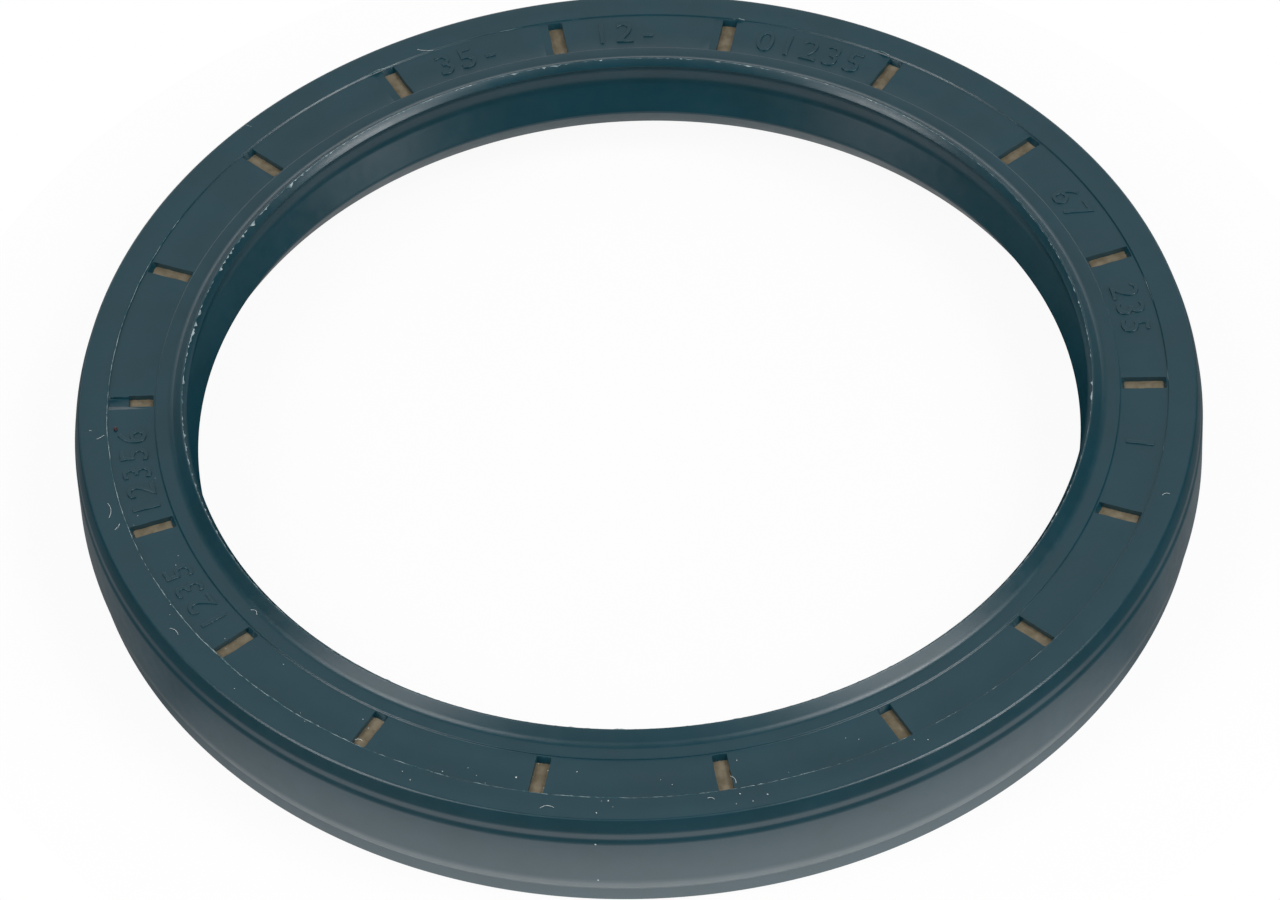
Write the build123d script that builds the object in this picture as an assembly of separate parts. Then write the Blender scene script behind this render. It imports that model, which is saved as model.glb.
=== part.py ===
from build123d import *
import os

# Radial shaft seal with a dust lip, for a 60 mm shaft in a 75 mm housing, 8 mm wide (8.8 mm over the dust lip).
# Frame: the axis is +Z, the oil side rests on Z = 0 and the slotted air side faces up.
# Every section is drawn on the XZ plane, as radius and height, and turned about the axis.

# ---- fits and widths ----
shaft_diameter = 60.0
housing_diameter = 75.0
body_width = 8.0
overall_width = 8.8
press_allowance = 0.3
lip_preload = 0.95
dust_lip_preload = 0.1
drawn_room = 7.5

radial_room = (housing_diameter - shaft_diameter) / 2


def across(width):
    """Fits a width of the section, drawn for a radial room of 7.5 mm, to the room between shaft and housing."""
    return width * radial_room / drawn_room


outside_radius = (housing_diameter + press_allowance) / 2
lip_radius = (shaft_diameter - lip_preload) / 2
dust_lip_radius = (shaft_diameter - dust_lip_preload) / 2

# ---- steel case: an L-shaped ring inside the rubber ----
steel_thickness = 0.9
case_bend = 0.7
cover_thickness = 1.1
air_skin = 0.53
oil_skin = 0.5
leg_skin = 0.55
leg_end_cover = 0.9
flange_overhang = 2.4

case_outer_radius = outside_radius - across(cover_thickness)
case_inner_radius = case_outer_radius - steel_thickness
flange_top = body_width - air_skin
flange_bottom = flange_top - steel_thickness
flange_edge_radius = lip_radius + across(flange_overhang)

# ---- air-side face, from the outside in ----
rim_inset = 0.58
rim_height = 1.02
rim_bevel = 0.3
rim_width = 1.77
panel_recess = 0.07
fold_inset = 0.37
fold_rise = 0.12
fold_slope = 0.22
web_valley_width = 0.55
web_valley_drop = 0.08

rim_radius = outside_radius - across(rim_inset)
panel_outer_radius = rim_radius - across(rim_width)
panel_height = body_width - panel_recess
panel_inner_radius = flange_edge_radius + across(fold_inset)
fold_radius = panel_inner_radius - across(fold_slope)
fold_height = panel_height + fold_rise
web_valley_radius = fold_radius - across(web_valley_width)

# ---- slots that bare the steel, one for each pin that holds the case in the mould ----
slot_count = 18
slot_width = 1.0
slot_start_angle = -2.8
slot_inner_margin = 0.2
slot_outer_margin = 0.04

slot_inner_radius = panel_inner_radius + across(slot_inner_margin)
slot_length = panel_outer_radius - across(slot_outer_margin) - slot_inner_radius

# ---- outside wall ----
shoulder_step = 0.12
shoulder_base = 1.58
ramp_height = 0.32
land_base = 2.3
taper_inset = 0.19
taper_base = 1.5
foot_inset = 0.42
foot_height = 1.2

shoulder_radius = outside_radius - across(shoulder_step)
foot_radius = outside_radius - across(foot_inset)

# ---- dust lip ----
dust_edge_drop = 0.76
dust_crest_inset = 0.37
dust_crest_width = 0.16
dust_crest_bevel = 0.07
dust_base_inset = 1.0
dust_base_rise = 0.2

dust_edge_height = overall_width - dust_edge_drop
dust_crest_radius = dust_lip_radius + across(dust_crest_inset)

# ---- sealing lip ----
throat_depth = 0.97
throat_drop = 1.8
throat_bevel = 0.25
air_cone_height = 1.85
contact_width = 0.2
flank_depth = 0.92
flank_height = 1.78

throat_radius = lip_radius + across(throat_depth)
throat_height = body_width - throat_drop
contact_top = throat_height - air_cone_height
contact_base = contact_top - contact_width
heel_radius = lip_radius + across(flank_depth)
heel_height = contact_base - flank_height

# ---- garter spring, in its groove behind the sealing lip ----
spring_coil_diameter = 1.7
coil_sides = 8
spring_clearance = 0.02
spring_lift = 0.45
lip_thickness = 1.0
keeper_overhang = 0.78
web_overhang = 0.3

groove_radius = spring_coil_diameter / 2 + spring_clearance
spring_radius = lip_radius + across(lip_thickness) + groove_radius
spring_height = (contact_top + contact_base) / 2 + spring_lift
keeper_height = spring_height - groove_radius

# ---- hollow between the lip and the outside wall ----
hollow_radius = case_inner_radius - across(leg_skin)
hollow_top = flange_bottom - oil_skin
skirt_chamfer = 0.3


def ring(section):
    """Turns a section about the seal's axis."""
    return revolve(section, axis=Axis.Z)


def corner_at(section, radius, height):
    """The corner of a section nearest to a radius from the axis and a height."""
    return section.vertices().sort_by_distance((radius, 0, height))[0]


def bevel(section, corners):
    """Takes the edge off some corners of a section, each given as (radius from the axis, height, bevel)."""
    for radius, height, width in corners:
        section = chamfer(corner_at(section, radius, height), width)
    return section


def coil_outline(radius):
    """An eight-sided outline around the spring's coil, its flats at this radius from the coil's centre."""
    outline = RegularPolygon(radius, coil_sides, major_radius=False, rotation=180 / coil_sides)
    return Pos(spring_radius, 0, spring_height) * Rot(90, 0, 0) * outline


def face_of(points):
    """A section on the XZ plane through points given as (radius from the axis, height)."""
    return make_face(Polyline([(radius, 0, height) for radius, height in points], close=True))


def case_section():
    """The L of the pressed steel: a flange towards the shaft and a leg along the housing."""
    section = face_of([
        (flange_edge_radius, flange_top),
        (case_outer_radius, flange_top),
        (case_outer_radius, leg_end_cover),
        (case_inner_radius, leg_end_cover),
        (case_inner_radius, flange_bottom),
        (flange_edge_radius, flange_bottom),
    ])
    return bevel(section, [(case_outer_radius, flange_top, case_bend)])


def body_section():
    """The moulded rubber with the steel still counted in: wall, air face, dust lip, sealing lip and hollow."""
    outside_wall = [
        (hollow_radius, skirt_chamfer),
        (hollow_radius + skirt_chamfer, 0),
        (foot_radius, 0),
        (foot_radius, foot_height),
        (outside_radius - across(taper_inset), taper_base),
        (outside_radius, land_base),
        (outside_radius, body_width - shoulder_base - ramp_height),
        (shoulder_radius, body_width - shoulder_base),
        (shoulder_radius, body_width - rim_height),
    ]
    air_face = [
        (rim_radius, body_width),
        (panel_outer_radius + panel_recess, body_width),
        (panel_outer_radius, panel_height),
        (panel_inner_radius, panel_height),
        (fold_radius, fold_height),
        (web_valley_radius, fold_height - web_valley_drop),
        (dust_lip_radius + across(dust_base_inset), body_width + dust_base_rise),
    ]
    dust_lip = [
        (dust_crest_radius + dust_crest_width, overall_width),
        (dust_crest_radius, overall_width),
        (dust_lip_radius, dust_edge_height),
        (throat_radius, throat_height),
    ]
    sealing_lip = [
        (lip_radius, contact_top),
        (lip_radius, contact_base),
        (heel_radius, heel_height),
        (spring_radius + keeper_overhang, keeper_height),
        (spring_radius + web_overhang, spring_height),
        (spring_radius + web_overhang, hollow_top),
        (hollow_radius, hollow_top),
    ]
    section = face_of(outside_wall + air_face + dust_lip + sealing_lip)
    section = bevel(section, [
        (rim_radius, body_width, rim_bevel),
        (dust_crest_radius + dust_crest_width, overall_width, dust_crest_bevel),
        (throat_radius, throat_height, throat_bevel),
    ])
    return section - coil_outline(groove_radius)


def slots():
    """Radial slots through the air-side skin, down to the steel."""
    middle_radius = slot_inner_radius + slot_length / 2
    cutter = Box(slot_length, slot_width, 2 * air_skin, align=(Align.CENTER, Align.CENTER, Align.MIN))
    places = PolarLocations(middle_radius, slot_count, start_angle=slot_start_angle)
    return [Pos(0, 0, flange_top) * place * cutter for place in places]


steel_case = ring(case_section())
rubber_body = ring(body_section()) - steel_case - slots()
garter_spring = ring(coil_outline(spring_coil_diameter / 2))

os.makedirs("parts", exist_ok=True)
export_step(rubber_body, "parts/rubber_body.step")
export_step(steel_case, "parts/steel_case.step")
export_step(garter_spring, "parts/garter_spring.step")
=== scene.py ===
# %% [markdown]
# # A radial shaft seal with a dust lip
# Rubber is moulded over an L-shaped steel ring, and a garter spring in a groove presses the lip on the
# shaft. The solid model gives every outside size. Here the rubber gets its true rounds, its slots, its raised
# numerals and its flash, the spring gets its real turns of wire, and each surface gets its finish.

# %% Load the frame
import math

import bmesh
import bpy
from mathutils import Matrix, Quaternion, Vector, noise


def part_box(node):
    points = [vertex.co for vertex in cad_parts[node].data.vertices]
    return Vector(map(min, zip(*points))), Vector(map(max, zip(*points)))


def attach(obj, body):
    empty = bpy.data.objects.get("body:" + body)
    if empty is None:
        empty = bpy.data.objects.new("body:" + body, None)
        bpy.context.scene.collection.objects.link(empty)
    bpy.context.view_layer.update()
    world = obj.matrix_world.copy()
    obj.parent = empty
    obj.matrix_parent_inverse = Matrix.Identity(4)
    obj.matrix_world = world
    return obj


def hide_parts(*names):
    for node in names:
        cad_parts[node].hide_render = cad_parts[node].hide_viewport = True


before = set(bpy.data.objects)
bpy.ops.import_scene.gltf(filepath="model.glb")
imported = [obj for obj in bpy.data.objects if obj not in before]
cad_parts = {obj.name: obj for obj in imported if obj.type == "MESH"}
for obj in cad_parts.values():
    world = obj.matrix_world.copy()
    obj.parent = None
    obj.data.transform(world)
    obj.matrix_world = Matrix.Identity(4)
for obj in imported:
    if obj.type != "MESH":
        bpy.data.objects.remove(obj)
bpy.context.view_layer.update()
MM = 0.001
rubber_low, rubber_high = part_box("rubber_body")
case_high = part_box("steel_case")[1]
coil_low, coil_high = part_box("garter_spring")
print("solids:", sorted(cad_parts))
print("solid model, mm:", [round(size / MM, 2) for size in rubber_high - rubber_low])

# %% [markdown]
# ## Small helpers
# Operators act on whatever is selected, so these keep the selection known: one piece active, or only the
# corners or edges of it that a short test picks by their place.


# %% Helpers for selecting and placing
def make_active(piece):
    bpy.ops.object.select_all(action="DESELECT")
    piece.select_set(True)
    bpy.context.view_layer.objects.active = piece


def edit(piece):
    make_active(piece)
    bpy.ops.object.mode_set(mode="EDIT")


def leave_edit():
    bpy.ops.object.mode_set(mode="OBJECT")


def select_where(piece, kind, test):
    """In edit mode, selects only the corners or edges that pass a test."""
    bpy.ops.mesh.select_mode(type=kind)
    bpy.ops.mesh.select_all(action="DESELECT")
    mesh = bmesh.from_edit_mesh(piece.data)
    for part in {"VERT": mesh.verts, "EDGE": mesh.edges}[kind]:
        part.select_set(bool(test(part)))
    bmesh.update_edit_mesh(piece.data)


def new_piece(name):
    """Names the object that an operator has just added."""
    piece = bpy.context.active_object
    piece.name = piece.data.name = name
    return piece


def apply_place(piece):
    make_active(piece)
    bpy.ops.object.transform_apply(location=True, rotation=True, scale=True)


def join_to(piece, others):
    make_active(piece)
    for other in others:
        other.select_set(True)
    bpy.ops.object.join()


def triangles(piece):
    return sum(len(face.vertices) - 2 for face in piece.data.polygons)


# %% [markdown]
# ## The rubber's section
# The mould shapes the rubber as one section turned about the axis. It could be stacked up from rings, but a
# section that is drawn once and spun keeps every slope and round in one place, and the same all the way
# round. A corner is given as (radius from the axis, height, reach of the round at that corner), all in mm.
# The driving sizes come from the solid model. The rest are the steps and slopes that the mould leaves.

# %% Sizes that the section stands on
outside_radius = rubber_high.x / MM
overall_width = rubber_high.z / MM
body_width = 8.0
lip_radius = 29.525
dust_edge_radius = 29.95
case_thickness = 0.9
leg_skin = 0.55
flange_skin = 0.5
coil_clearance = 0.02
rim_width = 2.35
lips_width = 2.64
panel_drop = 0.12

coil_radius = (coil_high.z - coil_low.z) / 2 / MM
spring_height = (coil_high.z + coil_low.z) / 2 / MM
spring_radius = coil_high.x / MM - coil_radius
groove_radius = coil_radius + coil_clearance
hollow_radius = case_high.x / MM - case_thickness - leg_skin
hollow_top = case_high.z / MM - case_thickness - flange_skin
flange_top = case_high.z / MM
panel_height = body_width - panel_drop
panel_outer_radius = outside_radius - rim_width
panel_inner_radius = lip_radius + lips_width
print("panels from", round(panel_inner_radius, 2), "to", round(panel_outer_radius, 2), "mm from the axis")

# %% [markdown]
# The corners run once round the section: up the outside wall, in over the air face, down past the dust lip
# and the sealing lip, round the spring's groove, and back through the hollow.

# %% Corners of the section
groove_start = math.radians(-48)
groove_turn = math.radians(242)
groove_steps = 18


def on_groove(angle):
    """The place at an angle round the spring's groove."""
    return (spring_radius + groove_radius * math.cos(angle), spring_height + groove_radius * math.sin(angle))


wall = [
    (hollow_radius, 0.0, 0.25),  # inner edge of the oil side
    (outside_radius - 0.42, 0.0, 0.1),  # outer edge of the oil side
    (outside_radius - 0.42, 1.2, 0.1),  # top of the foot
    (outside_radius - 0.19, 1.5, 0.12),  # start of the lead-in
    (outside_radius, 2.3, 0.25),  # full outside, which the housing grips
    (outside_radius, 6.1, 0.14),
    (outside_radius - 0.12, 6.42, 0.1),  # band below the rim
    (outside_radius - 0.12, 6.98, 0.12),
    (outside_radius - 0.42, body_width, 0.14),  # top of the rim's bevel
]
air_face = [
    (panel_outer_radius + 0.06, body_width, 0.02),  # inner edge of the rim
    (panel_outer_radius, panel_height, 0.02),  # outer edge of the panels
    (panel_inner_radius, panel_height, 0.06),  # inner edge of the panels
    (panel_inner_radius - 0.03, panel_height + 0.12, 0.05),  # step up to the dust lip
    (dust_edge_radius + 1.12, panel_height + 0.1, 0.3),  # foot of the dust lip's nose
    (dust_edge_radius + 0.44, overall_width, 0.05),  # crest of the dust lip
    (dust_edge_radius + 0.36, overall_width, 0.03),
    (dust_edge_radius, overall_width - 0.5, 0.05),  # edge of the dust lip
    (dust_edge_radius + 0.5, overall_width - 1.2, 0.4),  # its under side
]
lip = [
    (lip_radius + 1.02, 6.4, 0.35),  # waist between the two lips
    (lip_radius, 4.35, 0.05),  # sealing edge, a band 0.2 mm wide
    (lip_radius, 4.15, 0.05),
    (lip_radius + 0.92, 2.37, 0.22),  # oil end of the lip
    (spring_radius + 0.78, spring_height - groove_radius, 0.12),  # lower lip of the groove
    (*on_groove(groove_start), 0.03),  # mouth of the groove
]
hollow = [
    (spring_radius + 0.3, hollow_top, 0.3),  # top of the hollow, at the lip
    (hollow_radius, hollow_top, 0.3),  # top of the hollow, at the case's leg
]
print("section corners:", len(wall + air_face + lip + hollow))

# %% [markdown]
# A plane merged to its middle leaves the one corner that the outline grows from, extruded from point to
# point. The groove for the spring is the same corner spun about the coil's centre, because an arc is rounder
# than any bevel. The last corner is joined to the first by an edge.


# %% Draw the section
def draw_from(start):
    """A single corner at (radius, height), ready to be extruded."""
    bpy.ops.mesh.primitive_plane_add(size=MM, location=(0, 0, 0))
    piece = new_piece("rubber_ring")
    bpy.ops.object.mode_set(mode="EDIT")
    bpy.ops.mesh.merge(type="CENTER")
    bpy.ops.transform.translate(value=(start[0] * MM, 0, start[1] * MM))
    return piece


def extrude_to(here, there):
    step = ((there[0] - here[0]) * MM, 0, (there[1] - here[1]) * MM)
    bpy.ops.mesh.extrude_region_move(TRANSFORM_OT_translate={"value": step})


bpy.ops.object.select_all(action="DESELECT")
outline = wall + air_face + lip
rubber = draw_from(outline[0])
for here, there in zip(outline, outline[1:]):
    extrude_to(here, there)
bpy.ops.mesh.spin(
    steps=groove_steps,
    angle=groove_turn,
    center=(spring_radius * MM, 0, spring_height * MM),
    axis=(0, -1, 0),
    use_auto_merge=False,
)
groove_end = on_groove(groove_start - groove_turn)
for here, there in zip([groove_end, *hollow], hollow):
    extrude_to(here, there)
section = bmesh.from_edit_mesh(rubber.data)
ends = [corner for corner in section.verts if len(corner.link_edges) == 1]
select_where(rubber, "VERT", lambda corner: corner in ends)
bpy.ops.mesh.edge_face_add()
print("open ends joined:", len(ends), "corners:", len(section.verts))

# %% [markdown]
# Moulded rubber has no sharp corner apart from the sealing edges and the parting lines, so each corner is
# cut back by its own reach and rounded. One Bevel modifier would give every corner the same reach.

# %% Round the corners
fine_reach = 0.1


def round_corner(radius, height, reach):
    """Rounds the section's corner nearest to a place, in three steps if its reach is fine, else in five."""
    place = Vector((radius * MM, 0, height * MM))
    section = bmesh.from_edit_mesh(rubber.data)
    nearest = min(section.verts, key=lambda corner: (corner.co - place).length)
    select_where(rubber, "VERT", lambda corner: corner == nearest)
    steps = 3 if reach < fine_reach else 5
    bpy.ops.mesh.bevel(affect="VERTICES", offset=reach * MM, segments=steps, clamp_overlap=True)


for corner in outline + hollow:
    round_corner(*corner)
print("section corners after rounding:", len(bmesh.from_edit_mesh(rubber.data).verts))

# %% [markdown]
# Spinning the outline once round the axis makes the whole ring, with a step every degree. The first and the
# last step meet, so their doubled corners are merged before the faces are turned outwards.

# %% Spin the ring
ring_steps = 360
weld_distance = 0.002
bpy.ops.mesh.select_all(action="SELECT")
bpy.ops.mesh.spin(steps=ring_steps, angle=math.tau, center=(0, 0, 0), axis=(0, 0, 1), use_auto_merge=True)
bpy.ops.mesh.select_all(action="SELECT")
bpy.ops.mesh.remove_doubles(threshold=weld_distance * MM)
bpy.ops.mesh.normals_make_consistent(inside=False)
leave_edit()
print("rubber ring:", triangles(rubber), "triangles")

# %% [markdown]
# ## The slots, and the room for the steel
# In the mould the steel ring stands on eighteen pins. Each pin leaves a radial slot in the air side, with the
# bare steel at its floor. A slot could be drawn into the ring's own faces, but it crosses many of them, and a
# block taken away is how the pin leaves it. The blocks lean outwards at both ends and have slightly uneven
# walls, because the rubber tears a little where the pins pull out.

# %% A block for one slot
slot_width = 1.0
block_top = body_width + 0.6
block_edge = 0.07
wall_cuts = 5
level_reach = 0.3  # a corner this near to a level belongs to it, wherever the tilt has put it
upright_rise = 0.1  # an edge that rises further is an upright one
long_edge = 0.5


def slot_block(inner, outer, floor, angle, seed, tilt=0.0, lean=0.5, uneven=0.025, width=slot_width):
    """A block from one radius to another that stands on a floor, all in mm.

    Lean is how far each end slopes out for its height, and uneven is how far the walls wander.
    """
    height = block_top - floor
    middle = (inner + outer) / 2 * MM
    bpy.ops.mesh.primitive_cube_add(size=1, location=(middle, 0, (floor + height / 2) * MM))
    block = new_piece("slot_block")
    block.scale = ((outer - inner) * MM, width * MM, height * MM)
    block.rotation_euler.x = tilt
    apply_place(block)
    edit(block)
    for level in (floor, floor + height):
        select_where(block, "VERT", lambda corner: abs(corner.co.z - level * MM) < level_reach * MM)
        longer = 1 + 2 * lean * (level - panel_height) / (outer - inner)
        bpy.ops.transform.resize(value=(longer, 1, 1), center_override=(middle, 0, 0))

    def upright(edge):
        return abs(edge.verts[0].co.z - edge.verts[1].co.z) > upright_rise * MM

    select_where(block, "EDGE", upright)
    bpy.ops.mesh.bevel(offset=block_edge * MM, segments=2)
    select_where(block, "EDGE", lambda edge: edge.calc_length() > long_edge * MM and not upright(edge))
    bpy.ops.mesh.subdivide(number_cuts=wall_cuts)
    bpy.ops.mesh.select_all(action="SELECT")
    bpy.ops.transform.vertex_random(offset=uneven * MM, uniform=1.0, normal=0.0, seed=seed)
    leave_edit()
    block.rotation_euler.z = angle
    apply_place(block)
    return block


def cut_out(piece, cutter):
    make_active(piece)
    modifier = piece.modifiers.new("cut", "BOOLEAN")
    modifier.operation = "DIFFERENCE"
    modifier.solver = "EXACT"
    modifier.object = cutter
    bpy.ops.object.modifier_apply(modifier=modifier.name)
    bpy.data.objects.remove(cutter, do_unlink=True)
    print("after the cut:", triangles(piece), "triangles")


print("slots:", slot_width, "mm wide")

# %% [markdown]
# In one slot a skin of rubber has crept over half the steel, so its block ends early and a shallow, slightly
# tilted one goes on from there.

# %% Cut the slots
slot_count = 18
slot_start = math.radians(-2.8)
slot_inner_radius = panel_inner_radius + 0.08
slot_outer_radius = panel_outer_radius - 0.06
slot_floor = flange_top - 0.3
covered_slot = 9
covered_shift = math.radians(0.5)
covered_angle = slot_start + covered_slot * math.tau / slot_count + covered_shift
skin_start_radius = 33.95
skin_overlap = 0.1
skin_floor = panel_height - 0.12

blocks = []
for number in range(slot_count):
    if number == covered_slot:
        block = slot_block(slot_inner_radius, skin_start_radius, slot_floor, covered_angle, number, lean=0.2)
    else:
        angle = slot_start + number * math.tau / slot_count
        block = slot_block(slot_inner_radius, slot_outer_radius, slot_floor, angle, number)
    blocks.append(block)
slot_blocks = blocks.pop()
join_to(slot_blocks, blocks)
cut_out(rubber, slot_blocks)
skin_block = slot_block(
    skin_start_radius - skin_overlap, slot_outer_radius, skin_floor, covered_angle, seed=40,
    tilt=math.radians(4), lean=0.0, uneven=0.004, width=0.88,
)
cut_out(rubber, skin_block)

# %% [markdown]
# The steel's room inside the rubber has the steel's own shape, so a copy of the solid model's ring is the
# cutter. That ring's mesh is loose triangles, so the copy's corners are merged first. The slots open into it.

# %% Cut the room for the steel
merge_distance = 0.001
case_copy = bpy.data.objects["steel_case"].copy()
case_copy.data = case_copy.data.copy()
bpy.context.collection.objects.link(case_copy)
edit(case_copy)
bpy.ops.mesh.select_all(action="SELECT")
bpy.ops.mesh.remove_doubles(threshold=merge_distance * MM)
leave_edit()
cut_out(rubber, case_copy)

# %% [markdown]
# ## Raised numerals
# The panels between the slots carry raised marks, cut into the mould as thin strokes. Plain counting numerals
# of the same size stand for them here. Each is a text object made a mesh, stood with its top outwards. Real
# relief is chosen over bump, because the strokes catch light on their sides.

# %% Raise the numerals
numeral_height = 1.9
figure_share = 0.7  # a figure's height, as a share of the type's size
numeral_pitch = math.radians(2.75)
numeral_radius = (panel_inner_radius + panel_outer_radius) / 2 - 0.12
numeral_relief = 0.11
numeral_edge = 0.02
numeral_groups = [  # (degrees round to the first sign, the signs, read clockwise)
    (348.0, "1"),
    (11.5, "235"),
    (28.2, "67"),
    (72.5, "01235"),
    (92.0, "12-"),
    (111.0, "35-"),
    (194.2, "12356"),
    (213.0, "1235"),
]


def raised_numeral(sign, angle):
    bpy.ops.object.text_add(location=(0, 0, 0))
    numeral = new_piece("numeral")
    numeral.data.body = sign
    numeral.data.align_x = numeral.data.align_y = "CENTER"
    numeral.data.size = numeral_height / figure_share * MM
    numeral.data.resolution_u = 4
    numeral.data.offset = -numeral_edge * MM
    numeral.data.extrude = numeral_relief * MM / 2
    numeral.data.bevel_depth = numeral_edge * MM
    numeral.data.bevel_resolution = 1
    bpy.ops.object.convert(target="MESH")
    numeral = bpy.context.active_object
    numeral.location = (
        numeral_radius * math.cos(angle) * MM,
        numeral_radius * math.sin(angle) * MM,
        panel_height * MM,
    )
    numeral.rotation_euler.z = angle - math.pi / 2
    apply_place(numeral)
    return numeral


numerals = []
for first_angle, signs in numeral_groups:
    for place, sign in enumerate(signs):
        numerals.append(raised_numeral(sign, math.radians(first_angle) - place * numeral_pitch))
print("numerals:", len(numerals), "with", sum(map(triangles, numerals)), "triangles")

# %% [markdown]
# ## Flash and torn edges
# Where the halves of the mould meet, rubber creeps out as a hair-thin fin, which is trimmed or torn off later
# and leaves a pale ragged line. One runs round the panels, the other round the dust lip. A pattern in the
# material could draw them, but a real fin shows from every side and breaks the outline. A fin is a circle
# whose edge is extruded, moved by a smooth random reach, and given a wall of a few hundredths of a
# millimetre.

# %% Make a fin
fin_steps = 1440
fin_root = 0.05
fin_wall = 0.03
fin_sink = 0.03


def ragged(angle, fineness, seed):
    """A smooth random number from -1 to 1 that closes on itself round the ring."""
    return noise.noise(Vector((math.cos(angle), math.sin(angle), seed)) * fineness)


def fin(name, radius, height, lean, reach, wander=0.0):
    """A ragged ring fin that starts at a radius and height, and reaches along lean, (outwards, upwards)."""
    bpy.ops.mesh.primitive_circle_add(vertices=fin_steps, radius=radius * MM, location=(0, 0, height * MM))
    piece = new_piece(name)
    apply_place(piece)
    edit(piece)
    bpy.ops.mesh.select_all(action="SELECT")
    bpy.ops.mesh.extrude_edges_move()
    ring = bmesh.from_edit_mesh(piece.data)
    for corner in ring.verts:
        angle = math.atan2(corner.co.y, corner.co.x) % math.tau
        amount = (reach(angle) if corner.select else -fin_root) * MM
        outwards = Vector((math.cos(angle), math.sin(angle), 0))
        corner.co += amount * (lean[0] * outwards + lean[1] * Vector((0, 0, 1)))
        corner.co += wander * MM * ragged(angle, fineness=16, seed=6.3) * outwards
    bmesh.update_edit_mesh(piece.data)
    leave_edit()
    thickness = piece.modifiers.new("wall", "SOLIDIFY")
    thickness.thickness = fin_wall * MM
    thickness.offset = 0
    bpy.ops.object.modifier_apply(modifier=thickness.name)
    return piece


print("a fin's steps:", round(math.tau * panel_outer_radius / fin_steps, 2), "mm apart")

# %% [markdown]
# The fin round the panels creeps out along most of the front, has a flap on one side, and three torn tabs at
# the back. The fin on the dust lip is torn into teeth, which are longest on the left.

# %% Raise the two fins
tab_reach = 0.3
torn_tabs = [  # (degrees round, spread in degrees, share of the reach)
    (118.5, 1.2, 1.0),
    (59, 1.0, 1.0),
    (76.2, 0.7, 0.8),
]


def near_angle(angle, middle, spread):
    """1 at an angle in degrees, falling to 0 over a spread."""
    away = (math.degrees(angle) - middle + 180) % 360 - 180
    return max(0.0, 1 - abs(away) / spread)


def parting_reach(angle):
    """How far the fin round the panels stands out at an angle, in mm."""
    share = min(1.0, 1.8 * near_angle(angle, middle=230, spread=105))
    waves = 0.04 * ragged(angle, fineness=14, seed=3.1)
    teeth = 0.06 * ragged(angle, fineness=120, seed=8.7)
    creep = share * (0.04 + waves + teeth)
    creep += 0.05 * near_angle(angle, middle=222, spread=32)
    flap = near_angle(angle, middle=166, spread=20) * (0.07 + 0.05 * ragged(angle, fineness=40, seed=5.3))
    torn = tab_reach * sum(part * near_angle(angle, middle, spread) for middle, spread, part in torn_tabs)
    return creep + flap + torn - fin_sink


def torn_reach(angle):
    """How far the fin on the dust lip stands out at an angle, in mm."""
    share = 0.2 + 0.8 * near_angle(angle, middle=155, spread=75)
    share += 0.2 * near_angle(angle, middle=355, spread=40)
    teeth = max(0.0, ragged(angle, fineness=60, seed=1.7)) ** 2
    teeth += 0.9 * max(0.0, ragged(angle, fineness=170, seed=4.9)) ** 2
    return 0.012 + 0.6 * share * teeth


panel_fin = fin(
    "panel_fin", radius=panel_outer_radius + 0.05, height=body_width - 0.02,
    lean=(-0.35, 0.9), reach=parting_reach, wander=0.05,
)
lip_fin = fin(
    "lip_fin", radius=dust_edge_radius + 0.36, height=overall_width - 0.03,
    lean=(-0.97, -0.2), reach=torn_reach,
)
print("fins:", triangles(panel_fin) + triangles(lip_fin), "triangles")

# %% [markdown]
# ## Lint and dust
# Rubber holds lint. A hair system would scatter it evenly, but what falls on a seal lies here and there, so
# each whisker is a bent curve with a hair's thickness, laid one by one and made a mesh.

# %% Lay the whiskers
rim_height = body_width
fibre_thickness = 0.028
fibre_lift = 0.02
fibre_arch = 0.03
handle_reach = 1.3  # a curve's middle bows about three quarters as far as its handles
whisker_places = [  # (radius, degrees round, height, length, degrees turned, bend)
    (35.55, 112.2, rim_height, 1.1, 60, 0.1),
    (36.9, 134.0, 7.95, 0.8, 20, 0.15),
    (35.8, 182.95, rim_height, 0.6, 31, 0.05),
    (36.45, 181.9, rim_height, 0.2, -30, 0.03),
    (36.2, 193.5, rim_height, 1.3, 80, 0.18),
    (36.0, 196.0, rim_height, 0.6, 40, 0.05),
    (36.4, 212.0, rim_height, 0.8, 100, 0.12),
    (31.35, 215.0, 7.98, 0.6, 95, 0.2),
    (36.5, 258.8, rim_height, 0.9, 100, 0.18),
    (37.18, 266.2, 7.72, 0.25, 10, 0.05),
    (34.5, 278.1, panel_height, 0.7, 20, 0.12),
    (35.9, 275.4, rim_height, 0.45, 70, 0.08),
    (36.3, 341.0, rim_height, 0.5, 30, 0.1),
    (34.9, 237.0, panel_height, 0.5, 110, 0.1),
]


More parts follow.
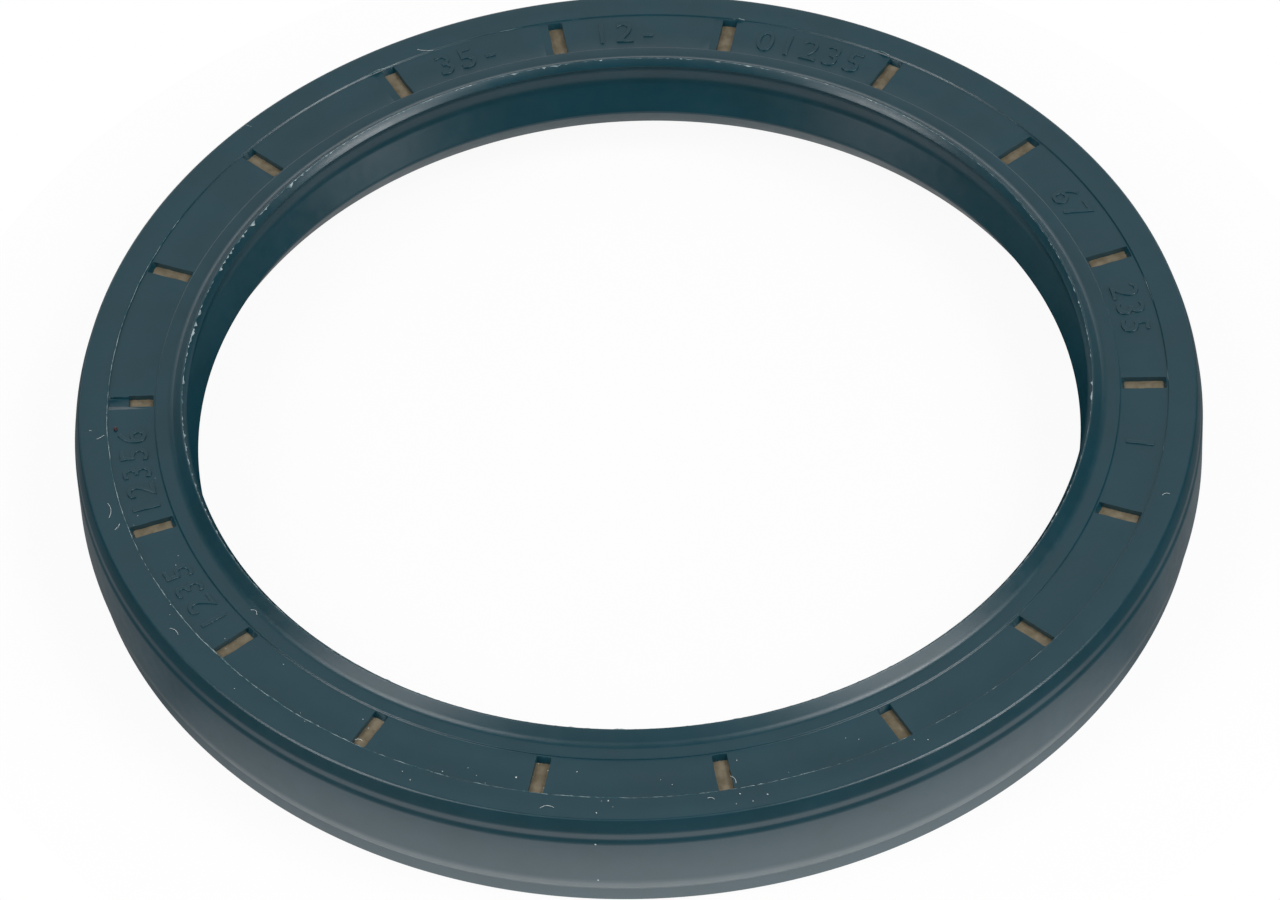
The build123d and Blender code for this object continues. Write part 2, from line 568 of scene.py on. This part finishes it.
def whisker(radius, angle, height, length, direction, bend):
    """A fibre lying at a radius and angle, its middle bowed sideways by bend, in mm and degrees."""
    bpy.ops.curve.primitive_bezier_curve_add(location=(0, 0, 0))
    fibre = new_piece("whisker")
    start, end = fibre.data.splines[0].bezier_points
    start.co, end.co = Vector((-length / 2, 0, 0)) * MM, Vector((length / 2, 0, 0)) * MM
    for point, side in ((start, 1), (end, -1)):
        reach = Vector((side * length / 3, bend * handle_reach, fibre_arch)) * MM
        point.handle_left_type = point.handle_right_type = "FREE"
        point.handle_left = point.handle_right = point.co + reach
    start.handle_left, end.handle_right = start.co, end.co
    fibre.data.resolution_u = 8
    fibre.data.bevel_depth = fibre_thickness / 2 * MM
    fibre.data.bevel_resolution = 0
    bpy.ops.object.convert(target="MESH")
    fibre = bpy.context.active_object
    around = math.radians(angle)
    fibre.location = Vector((radius * math.cos(around), radius * math.sin(around), height + fibre_lift)) * MM
    fibre.rotation_euler.z = around + math.radians(direction)
    apply_place(fibre)
    return fibre


lint = [whisker(*place) for place in whisker_places]
print("whiskers:", len(lint))

# %% [markdown]
# The specks are tiny squashed balls. A few are listed one by one. The rest are scattered by steps that never
# fall in rows, so that nothing is left to chance. One larger ball is a dried drop.

# %% Scatter the specks
speck_squash = (1.0, 0.65, 0.5)
speck_turn = 7  # radians for each mm from the axis, so that no two lie alike
scattered_specks = 34
first_angle, angle_spread, angle_step = 190, 110, 61.8
first_radius, radius_spread, radius_step = 32.6, 4.1, 0.618
least_size, size_spread, size_step = 0.05, 0.04, 0.37
speck_places = [  # (radius, degrees round, height, size)
    (34.24, 254.8, panel_height, 0.16),
    (33.23, 261.2, panel_height, 0.1),
    (35.62, 264.9, rim_height, 0.13),
    (36.64, 263.8, rim_height, 0.13),
    (37.2, 267.3, 7.7, 0.09),
    (35.84, 278.4, rim_height, 0.12),
    (36.3, 281.1, rim_height, 0.12),
    (36.6, 279.5, 7.98, 0.09),
    (35.0, 247.0, panel_height, 0.09),
    (34.8, 258.0, panel_height, 0.08),
    (37.64, 263.7, 6.05, 0.15),
    (37.62, 263.75, 2.45, 0.18),
]
for number in range(scattered_specks):
    angle = first_angle + (number * angle_step) % angle_spread
    radius = first_radius + radius_spread * ((number * radius_step) % 1)
    height = rim_height if radius > panel_outer_radius + 0.1 else panel_height
    speck_places.append((radius, angle, height, least_size + size_spread * ((number * size_step) % 1)))


def speck(radius, angle, height, size):
    bpy.ops.mesh.primitive_ico_sphere_add(subdivisions=1, radius=size * MM / 2)
    mote = new_piece("speck")
    around = math.radians(angle)
    mote.location = Vector((radius * math.cos(around), radius * math.sin(around), height + size / 6)) * MM
    mote.rotation_euler.z = radius * speck_turn
    mote.scale = speck_squash
    apply_place(mote)
    return mote


lint += [speck(*place) for place in speck_places]
drop = speck(34.77, 181.85, panel_height, 0.42)
print("lint:", sum(map(triangles, lint)), "triangles, and a drop of", triangles(drop))

# %% [markdown]
# ## The garter spring
# A garter spring is a close-wound coil whose ends are joined into a ring. A short coil could be repeated and
# bent round, but then its ends would have to be matched. Its wire follows a helix bent round the axis, so the
# points of one closed curve are worked out in a loop, and the curve gets the wire's thickness.

# %% Wind the spring
wire_diameter = 0.34
wire_gap = 0.015
points_per_turn = 12
wind_radius = coil_radius - wire_diameter / 2
turns = round(math.tau * spring_radius / (wire_diameter + wire_gap))

helix = bpy.data.curves.new("garter_coil", "CURVE")
helix.dimensions = "3D"
helix.bevel_depth = wire_diameter * MM / 2
helix.bevel_resolution = 1
wire = helix.splines.new("POLY")
wire.points.add(turns * points_per_turn - 1)
for number, point in enumerate(wire.points):
    around = math.tau * number / len(wire.points)
    winding = math.tau * number / points_per_turn
    radius = spring_radius + wind_radius * math.cos(winding)
    height = spring_height + wind_radius * math.sin(winding)
    point.co = (radius * math.cos(around) * MM, radius * math.sin(around) * MM, height * MM, 1)
wire.use_cyclic_u = True
spring = bpy.data.objects.new("garter_coil", helix)
bpy.context.collection.objects.link(spring)
make_active(spring)
bpy.ops.object.convert(target="MESH")
spring = new_piece("garter_coil")
bpy.ops.object.shade_smooth()
print("spring:", turns, "turns,", triangles(spring), "triangles")

# %% [markdown]
# ## Materials
# Colours are written as on a screen and turned to linear light by one function. One more adds a node with its
# settings and links. Every pattern reads Object coordinates, in metres, so it sits still on its piece. A
# noise's Scale is one over the size of its blobs, so that size is a real one.


# %% Material helpers
def linear(code):
    """Turns a screen colour, as #RRGGBB, to linear light."""
    shares = [int(code[start:start + 2], 16) / 255 for start in (1, 3, 5)]
    light = [share / 12.92 if share <= 0.04045 else ((share + 0.055) / 1.055) ** 2.4 for share in shares]
    return (*light, 1.0)


def add_node(tree, kind, inputs=None, **settings):
    """Adds a node with its settings, fills its sockets with values or with links, and gives its outputs."""
    node = tree.nodes.new("ShaderNode" + kind)
    for name, value in settings.items():
        setattr(node, name, value)
    for socket, value in (inputs or {}).items():
        if isinstance(value, bpy.types.NodeSocket):
            tree.links.new(value, node.inputs[socket])
        else:
            node.inputs[socket].default_value = value
    return node.outputs


def new_material(name):
    """A material with no nodes but the piece's own coordinates, with its tree and those coordinates."""
    material = bpy.data.materials.new(name)
    material.use_nodes = True
    tree = material.node_tree
    tree.nodes.clear()
    return material, tree, add_node(tree, "TexCoord")["Object"]


def coat(piece, material):
    piece.data.materials.clear()
    piece.data.materials.append(material)


mix_share, mix_first, mix_second, mix_colour = 0, 6, 7, 2  # the colour sockets of a Mix node, by place
print("#808080 in linear light:", round(linear("#808080")[0], 3))

# %% [markdown]
# Moulded nitrile rubber, pigmented dark blue. Wax and plasticiser bloom to its skin, which gives a soft sheen
# and faint paler clouds. The mould was turned and blasted, so the skin has a very fine grain. The true grain
# is near 0.02 mm. It is drawn at 0.1 mm so that it shows.

# %% Rubber
cloud_size, streak_size, grain_size = 4.0 * MM, 0.9 * MM, 0.1 * MM
grain_depth = 0.02 * MM
rubber_finish, tree, place = new_material("moulded_nitrile_rubber")
clouds = add_node(tree, "TexNoise", {"Vector": place, "Scale": 1 / cloud_size, "Detail": 3.0})["Fac"]
streaks = add_node(tree, "TexNoise", {"Vector": place, "Scale": 1 / streak_size, "Detail": 4.0})["Fac"]
skin = add_node(tree, "TexNoise", {
    "Vector": place, "Scale": 1 / grain_size, "Detail": 3.0, "Roughness": 0.6,
})["Fac"]
clouded = add_node(tree, "MapRange", {"Value": clouds, "From Min": 0.35, "From Max": 0.7})["Result"]
colour = {mix_share: clouded, mix_first: linear("#073641"), mix_second: linear("#093A46")}
sheen = {"Value": streaks, "From Min": 0.3, "From Max": 0.7, "To Min": 0.29, "To Max": 0.35}
relief = {"Height": skin, "Strength": 0.06, "Distance": grain_depth}
shader = add_node(tree, "BsdfPrincipled", {
    "Base Color": add_node(tree, "Mix", colour, data_type="RGBA")[mix_colour],
    "Roughness": add_node(tree, "MapRange", sheen)["Result"],
    "IOR": 1.55,
    "Specular IOR Level": 0.64,
    "Normal": add_node(tree, "Bump", relief)["Normal"],
})
add_node(tree, "OutputMaterial", {"Surface": shader["BSDF"]})
for piece in [rubber, *numerals]:
    coat(piece, rubber_finish)
print(rubber_finish.name, "has", len(tree.nodes), "nodes")

# %% [markdown]
# Torn and trimmed rubber scatters light from its ragged skin, so flash looks pale. It is patchy, from the
# rubber's own colour to nearly white. The fin round the panels is thin enough to keep more of the blue.

# %% Torn rubber
patch_size = 0.7 * MM
fin_finishes = [
    (panel_fin, "thin_rubber_flash", "#2C5A64", "#A3B7B9"),
    (lip_fin, "torn_rubber_flash", "#43626B", "#AEBDBF"),
]
for piece, name, dark, pale in fin_finishes:
    finish, tree, place = new_material(name)
    patches = add_node(tree, "TexNoise", {
        "Vector": place, "Scale": 1 / patch_size, "Detail": 4.0, "Roughness": 0.6,
    })["Fac"]
    patched = add_node(tree, "MapRange", {"Value": patches, "From Min": 0.4, "From Max": 0.62})["Result"]
    colour = {mix_share: patched, mix_first: linear(dark), mix_second: linear(pale)}
    shader = add_node(tree, "BsdfPrincipled", {
        "Base Color": add_node(tree, "Mix", colour, data_type="RGBA")[mix_colour],
        "Roughness": 0.6,
        "IOR": 1.52,
    })
    add_node(tree, "OutputMaterial", {"Surface": shader["BSDF"]})
    coat(piece, finish)
    print(finish.name, "has", len(tree.nodes), "nodes")

# %% [markdown]
# Lint is white cotton and paper fibre. The one dark speck on a panel is a dried red-brown drop, smoother than
# the fibres.

# %% Lint and drop
lint_finishes = [
    (lint, "cotton_lint", 0.3 * MM, "#AEB9BA", "#E4E9E8", 0.9),
    ([drop], "dried_red_drop", 0.15 * MM, "#1C0812", "#38101C", 0.4),
]
for bits, name, blob_size, dark, pale, roughness in lint_finishes:
    finish, tree, place = new_material(name)
    mottle = add_node(tree, "TexNoise", {"Vector": place, "Scale": 1 / blob_size})["Fac"]
    colour = {mix_share: mottle, mix_first: linear(dark), mix_second: linear(pale)}
    shader = add_node(tree, "BsdfPrincipled", {
        "Base Color": add_node(tree, "Mix", colour, data_type="RGBA")[mix_colour],
        "Roughness": roughness,
    })
    add_node(tree, "OutputMaterial", {"Surface": shader["BSDF"]})
    for bit in bits:
        coat(bit, finish)
    print(finish.name, "has", len(tree.nodes), "nodes")

# %% [markdown]
# Drawn spring wire is bright grey steel under a film of oil, with fine die marks along its length. The marks
# vary both its brightness and its gloss.

# %% Spring wire
mark_size = 0.3 * MM
finish, tree, place = new_material("drawn_spring_steel")
marks = add_node(tree, "TexNoise", {"Vector": place, "Scale": 1 / mark_size, "Detail": 3.0})["Fac"]
marked = add_node(tree, "MapRange", {"Value": marks, "From Min": 0.3, "From Max": 0.7})["Result"]
colour = {mix_share: marked, mix_first: linear("#8F8E8A"), mix_second: linear("#B4B2AC")}
gloss = {"Value": marks, "From Min": 0.3, "From Max": 0.7, "To Min": 0.24, "To Max": 0.38}
shader = add_node(tree, "BsdfPrincipled", {
    "Base Color": add_node(tree, "Mix", colour, data_type="RGBA")[mix_colour],
    "Metallic": 1.0,
    "Roughness": add_node(tree, "MapRange", gloss)["Result"],
})
add_node(tree, "OutputMaterial", {"Surface": shader["BSDF"]})
coat(spring, finish)
print(finish.name, "has", len(tree.nodes), "nodes")

# %% [markdown]
# The steel was phosphated and brushed with a bonding agent before moulding, so what the slots bare is dull
# and tan, and only a little metallic to the eye. The agent's film lies in patches, and the phosphate's
# crystals give it a fine tooth.

# %% Bonded steel
film_size, crystal_size = 0.8 * MM, 0.12 * MM
crystal_depth = 0.02 * MM
finish, tree, place = new_material("phosphated_bonded_steel")
film = add_node(tree, "TexNoise", {
    "Vector": place, "Scale": 1 / film_size, "Detail": 4.0, "Roughness": 0.6,
})["Fac"]
crystals = add_node(tree, "TexNoise", {"Vector": place, "Scale": 1 / crystal_size})["Fac"]
filmed = add_node(tree, "MapRange", {"Value": film, "From Min": 0.35, "From Max": 0.65})["Result"]
colour = {mix_share: filmed, mix_first: linear("#746A54"), mix_second: linear("#918671")}
gloss = {"Value": film, "From Min": 0.3, "From Max": 0.7, "To Min": 0.42, "To Max": 0.6}
relief = {"Height": crystals, "Strength": 0.3, "Distance": crystal_depth}
shader = add_node(tree, "BsdfPrincipled", {
    "Base Color": add_node(tree, "Mix", colour, data_type="RGBA")[mix_colour],
    "Metallic": 0.35,
    "Roughness": add_node(tree, "MapRange", gloss)["Result"],
    "Normal": add_node(tree, "Bump", relief)["Normal"],
})
add_node(tree, "OutputMaterial", {"Surface": shader["BSDF"]})
coat(bpy.data.objects["steel_case"], finish)
print(finish.name, "has", len(tree.nodes), "nodes")

# %% [markdown]
# ## One ring, tied to the solid model
# The numerals, the fins and the lint are stuck to the ring, so all become one piece. Its faces are shaded
# smooth where they meet at less than 32 degrees, which keeps the sealing edges and the slots' edges crisp.
# The ring and the coil then stand for the plain solids, and the steel ring is shown as it is.

# %% Join and tie the pieces
crisp_angle = math.radians(32)
join_to(rubber, [*numerals, panel_fin, lip_fin, *lint, drop])
make_active(rubber)
bpy.ops.object.shade_smooth_by_angle(angle=crisp_angle)
for piece, node, finish in (
    (rubber, "rubber_body", "seal_rubber"),
    (spring, "garter_spring", "spring_steel"),
):
    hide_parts(node)
    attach(piece, "root")
print("rubber ring with its marks:", triangles(rubber), "triangles")

# %% [markdown]
# ## The studio
# The seal lies on a small white card in a dim tent. A dark rubber shows its form by its highlights, so the
# light comes from the sides and low from behind, and the front, where the camera stands, is dark. Card and
# tent look plain white to the camera. In reflections the tent shows its own glows, and the card shows a
# painted reflection: a glow shaped round the seal, though the card is no lamp. A glow is the product of its
# fades, and where glows meet the brightest counts.


# %% Glows, and how rays see the white
def brightest(tree, glows, least=0.0):
    """The brightest of several glows, or a least value. Each glow is the product of its fades.

    A fade is (what it follows, where it starts, where it ends, its value at the start, its value at the end).
    """
    light = least
    for fades in glows:
        glow = 1.0
        for follows, start, end, first, last in fades:
            ramp = {"Value": follows, "From Min": start, "From Max": end, "To Min": first, "To Max": last}
            fade = add_node(tree, "MapRange", ramp)["Result"]
            glow = add_node(tree, "Math", {0: glow, 1: fade}, operation="MULTIPLY")[0]
        light = add_node(tree, "Math", {0: light, 1: glow}, operation="MAXIMUM")[0]
    return light


def seen_white(tree, straight=1.0, mirrored=1.0, scattered=0.0):
    """How white a thing looks to rays from the camera or through glass, in reflections, and as a light."""
    rays = add_node(tree, "LightPath")
    shares = {
        "Is Camera Ray": straight,
        "Is Transmission Ray": straight,
        "Is Glossy Ray": mirrored,
        "Is Diffuse Ray": scattered,
    }
    seen = 0.0
    for ray, share in shares.items():
        part = add_node(tree, "Math", {0: rays[ray], 1: share}, operation="MULTIPLY")[0]
        seen = add_node(tree, "Math", {0: seen, 1: part}, operation="MAXIMUM")[0]
    return seen


# %% [markdown]
# In reflections the card shows a painted reflection. It glows, though it is no lamp, brightest in front of
# the wall and fainter inside the hole and under the lip at the back, and it is dark right under the seal. It
# ends not far from the seal, because a wide white floor would lighten the whole wall.

# %% White card
card_radius = 50 * MM
card_white = 0.93
bpy.ops.mesh.primitive_circle_add(vertices=128, radius=card_radius, fill_type="NGON", location=(0, 0, 0))
card = new_piece("card")
finish, tree, place = new_material("white_card_painted_reflection")
axes = add_node(tree, "SeparateXYZ", {0: place})
radius = add_node(tree, "VectorMath", {0: place}, operation="LENGTH")["Value"]
ahead = add_node(tree, "Math", {0: axes["Y"], 1: radius}, operation="DIVIDE")[0]  # 1 behind, -1 in front
# Painted reflection: these glows are what the rubber mirrors of the card, shaped by distance and side, not
# lit by any lamp.
under_seal = (radius, 33 * MM, 34.5 * MM, 1.0, 0.0)
painted_reflection_front = [
    (ahead, -0.5, -1.0, 0.26, 1.5),
    (axes["X"], -30 * MM, 30 * MM, 0.9, 1.08),
    (radius, 41 * MM, 47 * MM, 1.0, 0.25),
    (radius, 34.5 * MM, 37 * MM, 0.0, 1.0),
]
painted_reflection_hole = [(radius, 21.5 * MM, 24 * MM, 0.0, 0.45), (ahead, 0.55, 0.85, 0.0, 1.0), under_seal]
painted_reflection_lip = [(radius, 29.2 * MM, 29.8 * MM, 0.0, 0.38), (ahead, 0.2, 0.7, 0.3, 1.0), under_seal]
# Rays mirrored off the rubber see the card as the painted reflection glow. Other rays see it as even white or
# as lit.
glossy = add_node(tree, "LightPath")["Is Glossy Ray"]
painted_reflection_glow = brightest(tree, [painted_reflection_front, painted_reflection_hole, painted_reflection_lip])
strength = add_node(tree, "Mix", {0: glossy, 2: 1.0, 3: painted_reflection_glow})[0]
matt = add_node(tree, "BsdfDiffuse", {"Color": linear("#F4F4F4")})[0]
glow = add_node(tree, "Emission", {"Color": (1, 1, 1, 1), "Strength": strength})[0]
mixed = add_node(tree, "MixShader", {0: seen_white(tree, card_white), 1: matt, 2: glow})[0]
add_node(tree, "OutputMaterial", {"Surface": mixed})
coat(card, finish)
print("card:", round(2 * card_radius / MM), "mm across, with", len(tree.nodes), "nodes")

# %% [markdown]
# The tent glows low behind the seal, and faintly overhead in front of the middle and behind it. The floor
# beyond the card glows faintly in front. As a light, the tent is brightest low down at the sides.

# %% Tent
tent = bpy.data.worlds.new("tent")
bpy.context.scene.world = tent
tent.use_nodes = True
tree = tent.node_tree
tree.nodes.clear()
axes = add_node(tree, "SeparateXYZ", {0: add_node(tree, "TexCoord")["Generated"]})
back, up = axes["Y"], axes["Z"]
aside = add_node(tree, "Math", {0: axes["X"]}, operation="ABSOLUTE")[0]
off_middle = add_node(tree, "Math", {0: back}, operation="ABSOLUTE")[0]
above_floor = (up, -0.01, 0.01, 0.0, 1.0)
below_top = (up, 0.9, 0.98, 1.0, 0.0)
low_glow = [(back, 0.55, 0.9, 0.0, 1.77), (up, 0.0, 0.75, 1.0, 0.0), above_floor]
roof = [(up, 0.62, 0.85, 0.0, 1.0), below_top, (off_middle, 0.3, 0.5, 0.0, 1.0), (back, -0.5, 0.5, 0.35, 0.8)]
front_roof = [(up, 0.42, 0.6, 0.0, 1.0), (back, -0.5, -0.25, 0.33, 0.0), below_top]
floor_glow = [(up, -0.02, 0.0, 1.0, 0.0), (back, -0.3, -0.8, 0.0, 0.12)]
side_light = [(aside, 0.3, 0.8, 0.0, 0.8), (up, 0.0, 0.6, 1.0, 0.0)]
low, high, floor = (brightest(tree, glows) for glows in ([low_glow], [roof, front_roof], [floor_glow]))
above = add_node(tree, "Math", {0: low, 1: high}, operation="ADD")[0]
tent_light = add_node(tree, "Math", {0: above, 1: floor}, operation="MAXIMUM")[0]
dim = add_node(tree, "Background", {"Color": (1, 1, 1, 1), "Strength": tent_light})[0]
white = add_node(tree, "Background", {"Color": (1, 1, 1, 1), "Strength": 1.0})[0]
seen = seen_white(tree, mirrored=0.03, scattered=brightest(tree, [side_light], least=0.12))
mixed = add_node(tree, "MixShader", {0: seen, 1: dim, 2: white})[0]
add_node(tree, "OutputWorld", {"Surface": mixed})
print("tent:", len(tree.nodes), "nodes")

# %% [markdown]
# On each side, in front, three soft boxes stand one above another. Each gives the wall or the face one of its
# broad highlights. A box is given by where it shows from the seal, which is what a highlight shows of it. A
# brightness of 1 is as bright as plain white.

# %% Soft boxes
box_distance = 0.6
soft_boxes = {  # name: (degrees round, degrees up, degrees wide, degrees high, brightness)
    "low_box_left": (210, 15, 22, 14, 6.0),
    "low_box_right": (329, 15, 22, 14, 8.0),
    "middle_box_left": (207, 46, 30, 30, 2.95),
    "middle_box_right": (329, 46, 34, 30, 3.05),
    "high_box_left": (192, 60, 18, 14, 3.6),
    "high_box_right": (347, 60, 18, 14, 7.8),
}
for name, (around, rise, *covers, brightness) in soft_boxes.items():
    around, rise = math.radians(around), math.radians(rise)
    toward = (math.cos(around) * math.cos(rise), math.sin(around) * math.cos(rise), math.sin(rise))
    place = box_distance * Vector(toward)
    bpy.ops.object.light_add(type="AREA", location=place)
    lamp = new_piece(name)
    lamp.rotation_euler = (-place).to_track_quat("-Z", "Y").to_euler()
    lamp.data.shape = "RECTANGLE"
    width, height = (2 * box_distance * math.tan(math.radians(cover / 2)) for cover in covers)
    lamp.data.size, lamp.data.size_y = width, height
    lamp.data.energy = brightness * width * height * math.pi
    lamp.visible_camera = False
    print(name, [round(side / MM) for side in (width, height)], "mm")

# %% [markdown]
# The camera stands in front and looks down at about 47 degrees through a long lens, which keeps the ring's
# near and far sides almost the same size. It leans a little to one side.

# %% Camera
camera_place = Vector((0, -372.98, 413.31)) * MM
camera_aim = Vector((0, 0, 7.475)) * MM
camera_tilt = -6.72e-3
camera_roll = -5.138e-2
bpy.ops.object.camera_add(location=camera_place)
camera = new_piece("camera")
camera.rotation_mode = "QUATERNION"
look = (camera_aim - camera_place).to_track_quat("-Z", "Y")
camera.rotation_quaternion = look @ Quaternion((1, 0, 0), camera_tilt) @ Quaternion((0, 0, 1), camera_roll)
camera.data.sensor_width = 36.0
camera.data.lens = 232.62
camera.data.clip_start, camera.data.clip_end = 0.01, 10.0
bpy.context.scene.camera = camera
bpy.context.scene.view_settings.view_transform = "Standard"
print("camera:", round((camera_place - camera_aim).length / MM), "mm away")
